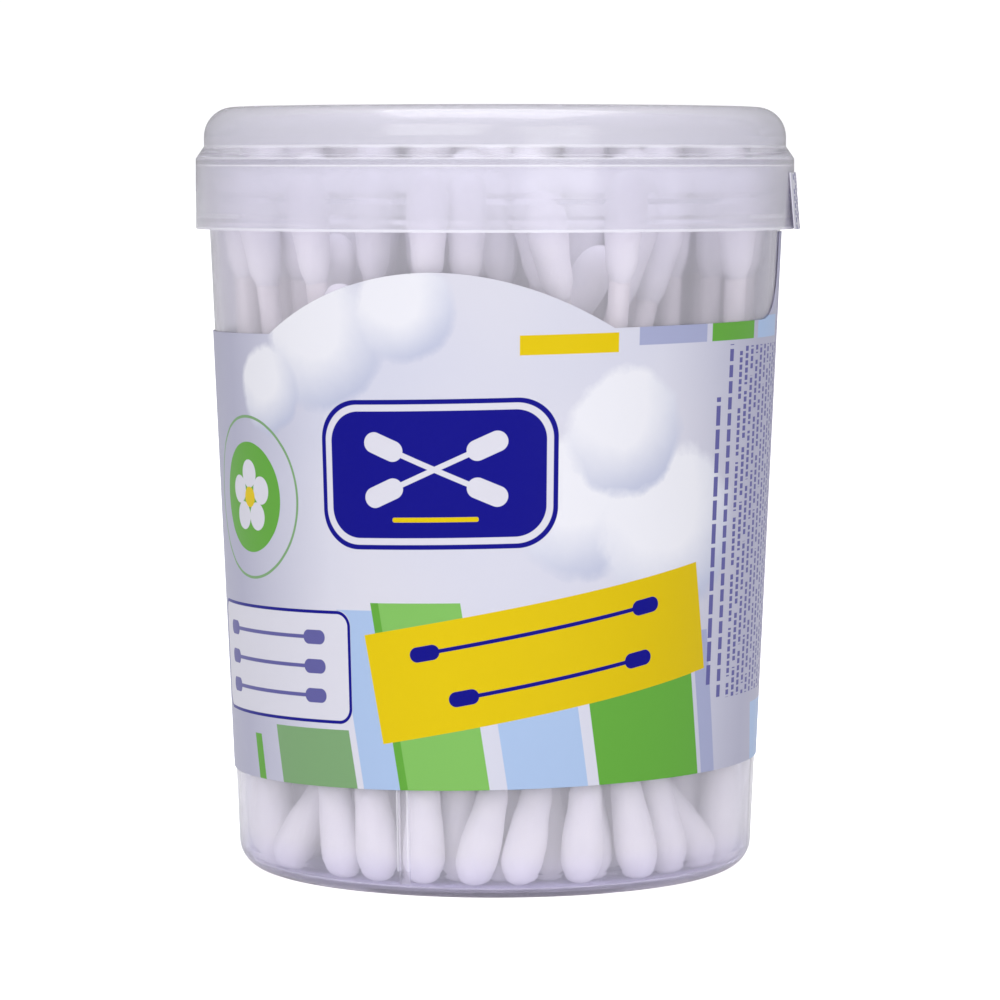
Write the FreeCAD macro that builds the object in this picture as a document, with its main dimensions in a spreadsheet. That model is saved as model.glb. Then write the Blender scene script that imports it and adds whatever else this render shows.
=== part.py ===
# A round, clear tub with a milky press-on lid, a printed label around its wall and the
# cotton swabs that stand in it. Millimetres and degrees. The origin is the centre of the
# foot, Z is up, and the middle of the label's front arch looks along -Y.

import FreeCAD, Part
import math
import os
import random
import Sketcher

# The driving sizes. Each one becomes a named cell of the sheet.
SIZES = (
    # tub
    ("rim_over_tips", 0.1),
    ("tub_foot_radius", 27.95),
    ("tub_rim_radius", 31.38),
    ("tub_wall", 0.8),
    ("tub_floor", 0.8),
    ("foot_recess", 0.3),
    ("foot_ring_width", 4.6),
    ("tub_corner_radius", 2.9),
    ("tub_inner_corner_radius", 1.3),
    ("tub_bead_depth", 0.08),
    ("tub_bead_height", 1.2),
    ("tub_bead_drop", 2.6),
    ("rib_count", 3),
    ("rib_width", 1.1),
    ("rib_depth", 0.25),
    ("rib_top", 42.0),
    ("rib_angle", -8.0),
    # lid
    ("lid_seat_gap", 0.2),
    ("lid_running_gap", 0.2),
    ("lid_bead_depth", 0.15),
    ("lid_bead_height", 0.9),
    ("lid_bead_lift", 0.8),
    ("lid_wall", 0.75),
    ("lid_skirt_drop", 6.84),
    ("lid_shoulder_inset", 0.9),
    ("lid_shoulder_height", 1.3),
    ("lid_crown_height", 6.3),
    ("lid_corner_radius", 3.2),
    # label on the wall and the strip that seals the lid
    ("label_thickness", 0.13),
    ("glue_gap", 0.05),
    ("label_bottom", 11.67),
    ("label_lid_gap", 10.33),
    ("label_skew", 1.43),
    ("arch_width", 37.1),
    ("arch_height", 6.2),
    ("seam_angle", 184.0),
    ("seam_gap", 0.4),
    ("tongue_angle", 111.0),
    ("tongue_width", 20.0),
    ("tongue_fillet", 6.0),
    ("tear_gap", 0.3),
    ("seal_width", 26.0),
    ("seal_height", 6.1),
    ("seal_stand_off", 0.5),
    # swabs
    ("swab_count", 100),
    ("swab_length", 75.0),
    ("stick_radius", 1.1),
    ("bud_radius", 2.2),
    ("bud_length", 12.0),
    ("bud_tip_flat", 0.07),
    ("bud_bulb_at", 2.9),
    ("bud_waist_radius", 1.85),
    ("bud_waist_at", 8.6),
    ("bud_collar", 0.12),
    ("bud_bore_gap", 0.05),
    ("stick_end_cover", 2.6),
    ("swab_gap", 0.05),
    ("swab_floor_gap", 0.1),
    ("swab_wall_gap", 0.06),
)

# Swabs that lean far around the wall: where the foot stands, and where the head ends up,
# in degrees from the front. The others stand nearly upright.
LEANING = (
    (-45, 33),
    (-31, -55),
    (7, 40),
    (18, 50),
    (42, 18),
    (54, 12),
    (65, -17),
    (-112, -28),
)
FIRST_FOOT_ANGLE = 7.3
UPRIGHT_SPREAD = 6.0
SPREAD_SEED = 11

# The swabs stand in rings. Each ring has this share of them, and every ring is this share
# of the room nearer to the axis. The outer ring keeps room for the leaning swabs.
RING_SHARES = (0.28, 0.27, 0.21, 0.15, 0.08, 0.01)
RING_STEP = 0.1816

# A bud is taken as a run of its full radius with rounded ends, which cover its shoulder.
SHOULDER_IN_RADII = 1.8

# How the swabs settle: feet are held fast by their neighbours, and heads give way.
SETTLING_ROUNDS = 600
ROUNDS_BETWEEN_LISTS = 8
SETTLING_STEP = 0.42
SMALLEST_PUSH = 0.002
FOOT_MOBILITY = 0.1
LIST_MARGIN = 1.2

EXPORT_FOLDER = "parts"
FULL_TURN = 360.0
RIGHT_ANGLE = 90.0
FAR = 60.0
SMALL_STEP = 0.5
CLOSE = 0.01


class Size:
    """A value together with the formula that ties it to the sheet."""

    def __init__(self, value, formula):
        self.value = value
        self.formula = formula

    def combined(self, other, sign, value):
        return Size(value, f"({self.formula} {sign} {other.formula})")

    def __add__(self, other):
        return self.combined(other, "+", self.value + other.value)

    def __sub__(self, other):
        return self.combined(other, "-", self.value - other.value)

    def __mul__(self, other):
        return self.combined(other, "*", self.value * other.value)

    def __truediv__(self, other):
        return self.combined(other, "/", self.value / other.value)


doc = FreeCAD.newDocument("cotton_swab_tub")


def make_sheet():
    """The sheet of driving sizes, one named cell for each."""
    sheet = doc.addObject("Spreadsheet::Sheet", "Sizes")
    for row, (name, value) in enumerate(SIZES, start=1):
        sheet.set(f"A{row}", name)
        sheet.set(f"B{row}", str(value))
        sheet.setAlias(f"B{row}", name)
    doc.recompute()
    return sheet


sheet = make_sheet()


def size(name):
    return Size(float(getattr(sheet, name)), f"Sizes.{name}")


def number(name):
    return float(getattr(sheet, name))


AXIS = Size(0.0, "0")
TWO = Size(2.0, "2")


def plane_of(body, role):
    """The body's own origin plane with this role."""
    return next(item for item in body.Origin.OriginFeatures if item.Role == role)


def section_sketch(body, name, corners):
    """A closed outline in the upright XZ plane, every corner placed from the sheet."""
    sketch = body.newObject("Sketcher::SketchObject", name)
    sketch.AttachmentSupport = [(plane_of(body, "XZ_Plane"), "")]
    sketch.MapMode = "FlatFace"
    spots = [FreeCAD.Vector(x.value, z.value, 0) for x, z in corners]
    for start, end in zip(spots, spots[1:] + spots[:1]):
        sketch.addGeometry(Part.LineSegment(start, end), False)
    count = len(corners)
    for line in range(count):
        following = (line + 1) % count
        sketch.addConstraint(Sketcher.Constraint("Coincident", line, 2, following, 1))
    for line, (x, z) in enumerate(corners):
        if x is AXIS:
            sketch.addConstraint(Sketcher.Constraint("PointOnObject", line, 1, -2))
        else:
            bind_corner(sketch, "DistanceX", line, x)
        if z is AXIS:
            sketch.addConstraint(Sketcher.Constraint("PointOnObject", line, 1, -1))
        else:
            bind_corner(sketch, "DistanceY", line, z)
    return sketch


def bind_corner(sketch, kind, line, length):
    """One corner's distance from the origin, bound to its formula."""
    row = sketch.addConstraint(Sketcher.Constraint(kind, -1, 1, line, 1, length.value))
    sketch.setExpression(f"Constraints[{row}]", length.formula)


def turned(body, name, corners):
    """A full turn of an outline about the upright axis."""
    sketch = section_sketch(body, f"{name}_section", corners)
    turn = body.newObject("PartDesign::Revolution", f"{name}_turned")
    turn.Profile = sketch
    turn.ReferenceAxis = (sketch, ["V_Axis"])
    turn.Angle = FULL_TURN
    body.Tip = turn
    doc.recompute()
    return turn


def ring_edges(shape, rings):
    """The names of the round edges with these radii and heights."""
    names = []
    for index, edge in enumerate(shape.Edges, start=1):
        if edge.Curve.TypeId != "Part::GeomCircle":
            continue
        here = (edge.Curve.Radius, edge.Curve.Center.z)
        if any(math.dist(here, ring) < CLOSE for ring in rings):
            names.append(f"Edge{index}")
    return names


def rounded(body, name, base, ring, radius):
    """A fillet along one round edge, given by its radius and height."""
    fillet = body.newObject("PartDesign::Fillet", name)
    fillet.Base = (base, ring_edges(base.Shape, [(ring[0].value, ring[1].value)]))
    fillet.Radius = radius.value
    fillet.setExpression("Radius", radius.formula)
    body.Tip = fillet
    doc.recompute()
    return fillet


def floor_top():
    return size("foot_recess") + size("tub_floor")


def tub_height():
    """The rim's height: the tub is made to the length of the swabs that stand in it."""
    tips = floor_top() + size("swab_floor_gap") + size("swab_length")
    return tips + size("rim_over_tips")


def wall_radius(height):
    """The tub's outer radius at a height, as a size."""
    lean = (size("tub_rim_radius") - size("tub_foot_radius")) / tub_height()
    return size("tub_foot_radius") + lean * height


def make_tub():
    """The tapered, moulded tub: foot ring, thin wall, bead under the rim, ribs."""
    body = doc.addObject("PartDesign::Body", "tub")
    body.Label = "tub"
    recess = size("foot_recess")
    ring_inside = size("tub_foot_radius") - size("foot_ring_width")
    floor = floor_top()
    height = tub_height()
    bead_top = height - size("tub_bead_drop")
    bead_bottom = bead_top - size("tub_bead_height")
    bead_middle = (bead_top + bead_bottom) / TWO
    wall = size("tub_wall")
    rim = size("tub_rim_radius")
    corners = [
        (AXIS, recess),
        (ring_inside, recess),
        (ring_inside, AXIS),
        (size("tub_foot_radius"), AXIS),
        (wall_radius(bead_bottom), bead_bottom),
        (rim + size("tub_bead_depth"), bead_middle),
        (wall_radius(bead_top), bead_top),
        (rim, height),
        (rim - wall, height),
        (wall_radius(floor) - wall, floor),
        (AXIS, floor),
    ]
    turn = turned(body, "tub", corners)
    foot_edge = (size("tub_foot_radius"), AXIS)
    foot = rounded(body, "tub_foot_fillet", turn, foot_edge, size("tub_corner_radius"))
    inner_edge = (wall_radius(floor) - wall, floor)
    rounded(body, "tub_floor_fillet", foot, inner_edge, size("tub_inner_corner_radius"))
    add_ribs(body)
    return body


def add_ribs(body):
    """Slim upright ribs inside the wall, which keep nested tubs from jamming."""
    wall = size("tub_wall")
    half_wall = wall / TWO
    top = size("rib_top")
    depth = size("rib_depth")
    low = floor_top()
    corner_end = low + size("tub_inner_corner_radius")
    corners = [
        (wall_radius(low) - wall - depth, low),
        (wall_radius(corner_end) - half_wall, corner_end),
        (wall_radius(top) - half_wall, top),
        (wall_radius(top) - wall, top),
        (wall_radius(top - depth) - wall - depth, top - depth),
    ]
    sketch = section_sketch(body, "rib_section", corners)
    upward = FreeCAD.Rotation(FreeCAD.Vector(0, 1, 0), number("rib_angle") - RIGHT_ANGLE)
    sketch.AttachmentOffset = FreeCAD.Placement(FreeCAD.Vector(), upward)
    turn = "(Sizes.rib_angle - 90) * 1 deg"
    sketch.setExpression("AttachmentOffset.Rotation.Angle", turn)
    pad = body.newObject("PartDesign::Pad", "rib")
    pad.Profile = sketch
    pad.Midplane = True
    pad.setExpression("Length", "Sizes.rib_width")
    doc.recompute()
    pattern = body.newObject("PartDesign::PolarPattern", "ribs")
    pattern.Originals = [pad]
    pattern.Axis = (sketch, ["V_Axis"])
    pattern.Angle = FULL_TURN
    pattern.setExpression("Occurrences", "Sizes.rib_count")
    body.Tip = pattern
    doc.recompute()


def make_lid():
    """The press-on lid: crown, shoulder step, seat on the rim, skirt and holding bead."""
    body = doc.addObject("PartDesign::Body", "lid")
    body.Label = "lid"
    wall = size("lid_wall")
    seat = lid_seat()
    skirt = lid_skirt_radius()
    skirt_inside = skirt - wall
    bead_inside = skirt_inside - size("lid_bead_depth")
    crown = skirt - size("lid_shoulder_inset")
    low = lid_low_edge()
    shoulder_low = seat + wall
    shoulder_top = shoulder_low + size("lid_shoulder_height")
    top = seat + size("lid_crown_height")
    bead_low = low + size("lid_bead_lift")
    bead_top = bead_low + size("lid_bead_height")
    bead_middle = (bead_low + bead_top) / TWO
    corners = [
        (skirt_inside, low),
        (skirt, low),
        (skirt, shoulder_low),
        (crown, shoulder_top),
        (crown, top),
        (AXIS, top),
        (AXIS, top - wall),
        (crown - wall, top - wall),
        (crown - wall, seat),
        (skirt_inside, seat),
        (skirt_inside, bead_top),
        (bead_inside, bead_middle),
        (skirt_inside, bead_low),
    ]
    turn = turned(body, "lid", corners)
    outer = rounded(
        body, "lid_corner_fillet", turn, (crown, top), size("lid_corner_radius")
    )
    inner_radius = size("lid_corner_radius") - wall
    inner_edge = (crown - wall, top - wall)
    rounded(body, "lid_inner_fillet", outer, inner_edge, inner_radius)
    return body


def lid_seat():
    return tub_height() + size("lid_seat_gap")


def lid_low_edge():
    return lid_seat() - size("lid_skirt_drop")


def lid_skirt_radius():
    """The skirt's outer radius: the lid's bead clears the tub's bead by the running gap."""
    bead_inside = size("tub_rim_radius") + size("tub_bead_depth") + size("lid_running_gap")
    return bead_inside + size("lid_bead_depth") + size("lid_wall")


def prism(corners_and_arcs, direction_angle):
    """An upright outline pushed out from the axis, turned to face the given angle."""
    face = Part.Face(Part.Wire(Part.__sortEdges__(corners_and_arcs)))
    solid = face.extrude(FreeCAD.Vector(0, -FAR, 0))
    solid.rotate(FreeCAD.Vector(), FreeCAD.Vector(0, 0, 1), direction_angle)
    return solid


def upright(x, z):
    return FreeCAD.Vector(x, 0, z)


def polyline(points):
    return [Part.LineSegment(a, b).toShape() for a, b in zip(points, points[1:])]


def arch_prism(band_top):
    """The arch that rises from the label's upper edge at the front."""
    half = number("arch_width") / 2
    crest = band_top + number("arch_height")
    start, end = upright(-half, band_top), upright(half, band_top)
    arc = Part.Arc(start, upright(0, crest), end).toShape()
    under = band_top - SMALL_STEP
    sides = polyline([end, upright(half, under), upright(-half, under), start])
    return prism([arc] + sides, 0)


def tongue_prism(band_top):
    """The tongue that rises to the lid, with a hollow curve at each side of its root."""
    half = number("tongue_width") / 2
    bend = number("tongue_fillet")
    under = band_top - SMALL_STEP
    top = tub_height().value
    edges = []
    for side in (-1, 1):
        foot = upright(side * (half + bend), band_top)
        bulge = bend * (1 - math.sqrt(0.5))
        middle = upright(side * (half + bulge), band_top + bulge)
        shoulder = upright(side * half, band_top + bend)
        edges.append(Part.Arc(foot, middle, shoulder).toShape())
        edges += polyline([shoulder, upright(side * half, top)])
        edges += polyline([foot, upright(side * (half + bend), under)])
    edges += polyline([upright(-half, top), upright(half, top)])
    edges += polyline([upright(-half - bend, under), upright(half + bend, under)])
    return prism(edges, number("tongue_angle"))


def wall_cone(offset):
    """The tub's tapered outside, grown by an offset."""
    return Part.makeCone(
        number("tub_foot_radius") + offset,
        number("tub_rim_radius") + offset,
        tub_height().value,
    )


def make_label():
    """The printed wrap: a thin shell on the wall, cut to a slightly skewed outline."""
    gap = number("glue_gap")
    shell = wall_cone(gap + number("label_thickness")).cut(wall_cone(gap))
    bottom = number("label_bottom")
    lid_edge = lid_low_edge().value
    band = lid_edge - number("label_lid_gap") - bottom
    block = Part.makeCylinder(FAR, band, FreeCAD.Vector(0, 0, bottom))
    outline = block.fuse([arch_prism(bottom + band), tongue_prism(bottom + band)])
    middle = FreeCAD.Vector(0, 0, bottom + band / 2)
    outline.rotate(middle, FreeCAD.Vector(0, 1, 0), -number("label_skew"))
    below_lid = Part.makeCylinder(FAR, lid_edge - number("tear_gap"))
    seam = Part.makeBox(number("seam_gap"), FAR, lid_edge, FreeCAD.Vector(0, -FAR, 0))
    seam.rotate(FreeCAD.Vector(), FreeCAD.Vector(0, 0, 1), number("seam_angle"))
    shape = shell.common(outline).common(below_lid).cut(seam)
    return add_shape("label", shape.Solids[0])


def make_lid_seal():
    """The end of the tongue, on the lid's skirt and parted at the tear line."""
    radius = lid_skirt_radius().value + number("glue_gap")
    thick = number("label_thickness")
    loose = number("seal_stand_off")
    height = number("seal_height")
    foot = FreeCAD.Vector(0, 0, lid_low_edge().value)
    outside = Part.makeCone(radius + loose + thick, radius + thick, height, foot)
    inside = Part.makeCone(radius + loose, radius, height, foot)
    half = number("seal_width") / 2
    low, high = foot.z, foot.z + height
    corners = [(-half, low), (half, low), (half, high), (-half, high), (-half, low)]
    strip = prism(polyline([upright(x, z) for x, z in corners]), number("tongue_angle"))
    return add_shape("lid_seal", outside.cut(inside).common(strip).Solids[0])


def add_shape(name, shape):
    feature = doc.addObject("Part::Feature", name)
    feature.Label = name
    feature.Shape = shape
    return feature


def make_stick_pattern():
    """One rolled paper stick, its foot at the origin."""
    stick = doc.addObject("Part::Cylinder", "stick_pattern")
    stick.setExpression("Radius", "Sizes.stick_radius")
    stick.setExpression("Height", "Sizes.swab_length - 2 * Sizes.stick_end_cover")
    return stick


def make_bud_pattern():
    """One cotton bud, tip down at the origin, with the bore that holds the stick."""
    body = doc.addObject("PartDesign::Body", "bud_pattern")
    radius = size("bud_radius")
    bore = size("stick_radius") + size("bud_bore_gap")
    collar = bore + size("bud_collar")
    cover = size("stick_end_cover") - size("bud_bore_gap")
    corners = [
        (AXIS, AXIS),
        (radius, AXIS),
        (radius, size("bud_bulb_at")),
        (size("bud_waist_radius"), size("bud_waist_at")),
        (collar, size("bud_length")),
        (bore, size("bud_length")),
        (bore, cover),
        (AXIS, cover),
    ]
    turn = turned(body, "bud", corners)
    tip = radius - size("bud_tip_flat")
    rounded(body, "bud_tip_fillet", turn, (radius, AXIS), tip)
    return body


def nearest(first, second):
    """Where two straight runs come closest: the share along each, and the gap between."""
    ax, ay, az, ux, uy, uz = first
    bx, by, bz, vx, vy, vz = second
    wx, wy, wz = ax - bx, ay - by, az - bz
    uu = ux * ux + uy * uy + uz * uz
    vv = vx * vx + vy * vy + vz * vz
    uv = ux * vx + uy * vy + uz * vz
    uw = ux * wx + uy * wy + uz * wz
    vw = vx * wx + vy * wy + vz * wz
    spread = uu * vv - uv * uv
    share = 0.5 if spread < 1e-9 else min(1.0, max(0.0, (uv * vw - vv * uw) / spread))
    other = min(1.0, max(0.0, (uv * share + vw) / vv))
    share = min(1.0, max(0.0, (uv * other - uw) / uu))
    gap = (
        wx + ux * share - vx * other,
        wy + uy * share - vy * other,
        wz + uz * share - vz * other,
    )
    return share, other, gap


class Swabs:
    """Straight swabs in the tub, each known by the centres of its two rounded tips."""

    def __init__(self):
        self.bud = number("bud_radius")
        self.stick = number("stick_radius")
        self.reach = number("swab_length") - 2 * self.bud
        self.run = number("bud_length") - SHOULDER_IN_RADII * self.bud
        self.gap = number("swab_gap")
        self.low = floor_top().value + number("swab_floor_gap") + self.bud
        self.low_room = self.room(self.low)
        self.high_room = self.room(self.low + self.reach - self.run)
        self.feet = []
        self.heads = []
        self.rings = []
        self.foot_angles = []

    def room(self, height):
        """How far from the axis a bud's centre may stand at a height."""
        radius = wall_radius(Size(height, "0")).value - number("tub_wall")
        return radius - number("rib_depth") - number("swab_wall_gap") - self.bud

    def stand_in_rings(self):
        """Rings from the wall inwards, each with its share of the swabs."""
        spread = random.Random(SPREAD_SEED)
        first = FIRST_FOOT_ANGLE
        for ring, share in enumerate(RING_SHARES):
            count = max(1, round(number("swab_count") * share))
            radius = self.low_room * (1 - ring * RING_STEP) if count > 1 else 0.0
            turn = FULL_TURN / count
            for index in range(count):
                foot = first + index * turn
                head = foot + spread.uniform(-UPRIGHT_SPREAD, UPRIGHT_SPREAD)
                self.add(radius, foot, head, ring)
            first = spread.uniform(0, turn)
        self.lean()

    def add(self, radius, foot, head, ring):
        self.feet.append(self.at(radius, foot))
        self.heads.append(self.at(radius * self.high_room / self.low_room, head))
        self.rings.append(ring)
        self.foot_angles.append(foot)

    def at(self, radius, angle):
        """A place on a circle, the angle counted from the front towards the right."""
        turn = math.radians(angle)
        return [radius * math.sin(turn), -radius * math.cos(turn)]

    def lean(self):
        """Sends the heads of the chosen outer swabs around the wall."""
        outer = [index for index, ring in enumerate(self.rings) if ring == 0]
        taken = set()
        for foot, head in LEANING:
            free = [index for index in outer if index not in taken]
            pick = min(free, key=lambda index: self.turn_between(index, foot))
            taken.add(pick)
            self.heads[pick] = self.at(self.high_room, head)

    def turn_between(self, index, angle):
        turn = (self.foot_angles[index] - angle) % FULL_TURN
        return min(turn, FULL_TURN - turn)

    def line(self, index):
        """The axis from tip centre to tip centre: its start and its full run."""
        foot, head = self.feet[index], self.heads[index]
        dx, dy = head[0] - foot[0], head[1] - foot[1]
        rise = math.sqrt(self.reach**2 - dx * dx - dy * dy)
        return (foot[0], foot[1], self.low, dx, dy, rise)

    def stretches(self, line):
        """The foot bud, the stick and the head bud, as runs with a radius each."""
        x, y, z, dx, dy, dz = line
        part = self.run / self.reach
        rest = 1 - part
        foot = (x, y, z, dx * part, dy * part, dz * part)
        head = (x + dx * rest, y + dy * rest, z + dz * rest, dx * part, dy * part, dz * part)
        return (
            (foot, self.bud, 0.0, part),
            (head, self.bud, rest, part),
            (line, self.stick, 0.0, 1.0),
        )

    def clashes(self, first, second):
        """Each meeting of two swabs: the shares along them, the room needed, the gap."""
        for run_a, radius_a, start_a, part_a in first:
            for run_b, radius_b, start_b, part_b in second:
                share, other, gap = nearest(run_a, run_b)
                need = radius_a + radius_b + self.gap
                if gap[0] ** 2 + gap[1] ** 2 + gap[2] ** 2 < need * need:
                    yield start_a + share * part_a, start_b + other * part_b, need, gap

    def close_pairs(self, margin):
        lines = [self.line(index) for index in range(len(self.feet))]
        limit = 2 * self.bud + margin
        pairs = []
        for first in range(len(lines)):
            for second in range(first + 1, len(lines)):
                _, _, gap = nearest(lines[first], lines[second])
                if gap[0] ** 2 + gap[1] ** 2 + gap[2] ** 2 < limit * limit:
                    pairs.append((first, second))
        return pairs

    def settle(self):
        """Pushes swabs that meet apart, and those at the wall back in, until none do."""
        for turn in range(SETTLING_ROUNDS):
            if turn % ROUNDS_BETWEEN_LISTS == 0:
                pairs = self.close_pairs(LIST_MARGIN)
            moved = self.push_apart(pairs)
            moved += self.keep_in()
            if not moved:
                break
        return turn

    def push_apart(self, pairs):
        count = 0
        for first, second in pairs:
            here = self.stretches(self.line(first))
            there = self.stretches(self.line(second))
            for share, other, need, gap in list(self.clashes(here, there)):
                flat = math.hypot(gap[0], gap[1])
                direction = (gap[0] / flat, gap[1] / flat) if flat else (1.0, 0.0)
                level = max(0.0, need * need - gap[2] ** 2)
                push = (math.sqrt(level) - flat) * SETTLING_STEP + SMALLEST_PUSH
                self.shift(first, share, direction, push)
                self.shift(second, other, direction, -push)
                count += 1
        return count

    def shift(self, index, share, direction, push):
        """Moves the axis at a share of its length, mostly by its head."""
        foot_part = FOOT_MOBILITY * (1 - share)
        weight = push / (foot_part * (1 - share) + share**2)
        for end, part in ((self.feet[index], foot_part), (self.heads[index], share)):
            end[0] += direction[0] * weight * part
            end[1] += direction[1] * weight * part

    def keep_in(self):
        """Brings every bud's ends back inside the wall."""
        count = 0
        part = self.run / self.reach
        for index in range(len(self.feet)):
            for share in (0.0, part, 1 - part, 1.0):
                x, y, z, dx, dy, dz = self.line(index)
                px, py, pz = x + dx * share, y + dy * share, z + dz * share
                out = math.hypot(px, py)
                over = out - self.room(pz)
                if over > 0:
                    self.shift(index, share, (px / out, py / out), -over)
                    count += over > CLOSE
        return count

    def leave_out_stuck(self):
        """Takes out swabs that found no room, the worst first; a ring keeps its last one."""
        left_out = 0
        while True:
            hits = self.overlaps()
            spare = [index for index in hits if self.rings.count(self.rings[index]) > 1]
            if not spare:
                return left_out
            worst = max(spare, key=hits.get)
            for rows in (self.feet, self.heads, self.rings, self.foot_angles):
                del rows[worst]
            left_out += 1

    def overlaps(self):
        """How far each swab runs into others, where that is more than half the gap."""
        hits = {}
        for first, second in self.close_pairs(0.0):
            here = self.stretches(self.line(first))
            there = self.stretches(self.line(second))
            for _, _, need, gap in self.clashes(here, there):
                depth = need - math.sqrt(sum(side * side for side in gap))
                if depth > self.gap / 2:
                    for index in (first, second):
                        hits[index] = hits.get(index, 0.0) + depth
        return hits


def placement(foot, direction):
    """Stands a pattern at a foot point, its axis along a direction."""
    turn = FreeCAD.Rotation(FreeCAD.Vector(0, 0, 1), direction)
    return FreeCAD.Placement(foot, turn)


def placed(pattern, where):
    shape = pattern.Shape.copy()
    shape.Placement = where
    return shape


def make_swabs():
    """The standing swabs, grouped by ring: paper sticks in one group, buds in another."""
    swabs = Swabs()
    swabs.stand_in_rings()
    rounds = swabs.settle()
    left_out = swabs.leave_out_stuck()
    print("swabs", len(swabs.feet), "left out", left_out, "settling rounds", rounds)
    stick, bud = make_stick_pattern(), make_bud_pattern()
    doc.recompute()
    tip = number("bud_radius")
    cover = number("stick_end_cover")
    length = number("swab_length")
    groups = {}
    for index, ring in enumerate(swabs.rings):
        x, y, z, dx, dy, dz = swabs.line(index)
        along = FreeCAD.Vector(dx, dy, dz).normalize()
        foot = FreeCAD.Vector(x, y, z) - along * tip
        head = foot + along * length
        sticks, buds = groups.setdefault(ring, ([], []))
        sticks.append(placed(stick, placement(foot + along * cover, along)))
        buds.append(placed(bud, placement(foot, along)))
        buds.append(placed(bud, placement(head, along * -1)))
    nodes = []
    for ring, (sticks, buds) in sorted(groups.items()):
        nodes.append(add_shape(f"swab_sticks_ring_{ring + 1}", Part.makeCompound(sticks)))
        nodes.append(add_shape(f"swab_cotton_ring_{ring + 1}", Part.makeCompound(buds)))
    return nodes


def faults():
    """The objects of the document that failed, and the pieces without a sound shape."""
    found = []
    for item in doc.Objects:
        if "Invalid" in item.State or "Error" in item.State:
            found.append(f"{item.Name}: {item.State}")
    for piece in pieces:
        if piece.Shape.isNull() or not piece.Shape.isValid():
            found.append(f"{piece.Label}: no sound shape")
    return found


pieces = [make_tub(), make_lid(), make_label(), make_lid_seal()]
pieces += make_swabs()
doc.recompute()
problems = faults()
if problems:
    raise RuntimeError("; ".join(problems))

os.makedirs(EXPORT_FOLDER, exist_ok=True)
for piece in pieces:
    piece.Shape.exportStep(f"{EXPORT_FOLDER}/{piece.Label}.step")
    box = piece.Shape.BoundBox
    print(
        piece.Label,
        "solids", len(piece.Shape.Solids),
        "volume", round(piece.Shape.Volume, 1),
        "box", [round(v, 2) for v in (box.XMin, box.YMin, box.ZMin, box.XMax, box.YMax, box.ZMax)],
    )
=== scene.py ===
"""The looks of the cotton swab tub: clear tub, milky lid, printed wrap and soft swabs."""

import math

import bmesh
import bpy
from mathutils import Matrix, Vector, noise


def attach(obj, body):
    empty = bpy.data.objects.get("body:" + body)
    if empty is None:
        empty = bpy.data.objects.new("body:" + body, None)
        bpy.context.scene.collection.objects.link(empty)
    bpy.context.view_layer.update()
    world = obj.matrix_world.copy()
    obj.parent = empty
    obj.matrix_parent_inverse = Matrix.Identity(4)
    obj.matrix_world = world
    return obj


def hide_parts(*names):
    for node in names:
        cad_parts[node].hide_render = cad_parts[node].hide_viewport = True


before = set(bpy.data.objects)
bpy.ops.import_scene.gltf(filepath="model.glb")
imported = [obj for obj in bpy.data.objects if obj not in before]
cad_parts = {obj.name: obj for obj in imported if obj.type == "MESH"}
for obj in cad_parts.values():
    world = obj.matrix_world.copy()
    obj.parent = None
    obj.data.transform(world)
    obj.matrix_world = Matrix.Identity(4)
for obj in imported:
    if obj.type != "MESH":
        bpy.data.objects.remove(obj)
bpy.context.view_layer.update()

MM = 0.001
TUB_BODY = "filled_tub"

# The photograph's camera: distance from the tub's axis, height, turn round the tub and
# aim, with the focal length in pixels of the 1000 pixel picture. Angles are in degrees.
PICTURE_SIDE = 1000
SENSOR = 36.0
CAMERA_DISTANCE = 0.5
CAMERA_HEIGHT = 0.07668
CAMERA_TURN = 12.0
CAMERA_PITCH = 4.205
FOCAL_PIXELS = 4573
AXIS_PIXEL = 495
CLIP_NEAR = 0.01
CLIP_FAR = 20

# The wrap: its radius for measuring along it, its skew and its seam.
WRAP_RADIUS = 29.4
WRAP_SKEW = 1.43
WRAP_SEAM = 184.0

# The room's light. Its levels are: how far a direction faces the room's front at least
# and at most, then how bright each is. The front lies towards the camera and rises by
# ROOM_FRONT_RISE for each step towards it. What is seen through the plastic is brighter
# by ROOM_THROUGH, and the camera sees the room itself at ROOM_WHITE.
ROOM_LEVELS = (-0.6, 1.0, 0.34, 0.94)
ROOM_FRONT_RISE = 0.35
ROOM_THROUGH = 0.22
ROOM_WHITE = 1.05
ROOM_COLOUR = (0.99, 0.985, 1.0, 1)

# The lamps, which point at LIT_SPOT: a large key from the upper left, a fill from the
# right and one above, each with its place, its width and height, and its power.
LIT_SPOT = Vector((0, 0, 0.045))
LAMPS = (
    ("key", (-0.2, -0.95, 0.5), (0.7, 0.7), 2.65),
    ("fill", (0.6, -0.8, 0.35), (0.5, 0.7), 1.4),
    ("top", (0.0, 0.0, 0.8), (0.6, 0.6), 2.4),
)

# The floor's half side, and how it looks. Only the camera sees its glow.
FLOOR_HALF = 12.0
FLOOR_GLOW = 0.8
FLOOR_ROUGHNESS = 0.7
FLOOR_SPECULAR = 0.2

# The film: how bright the light on its front is, under which the printed colours are
# given, then how rough and how shiny it is.
FILM_LIGHT = 1.18
FILM_ROUGHNESS = 0.34
FILM_SPECULAR = 0.12

# The two plastics: how much light they pass unscattered, and their least and most
# roughness. Their edges are painted whiter as highlight lines, fully so within a share
# of an edge's half width.
PLASTIC_IOR = 1.49
TUB_CLEARNESS = 0.84
TUB_ROUGHNESS = (0.05, 0.1)
LID_CLEARNESS = 0.76
LID_ROUGHNESS = (0.12, 0.2)
EDGE_CORE = 0.5
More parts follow.
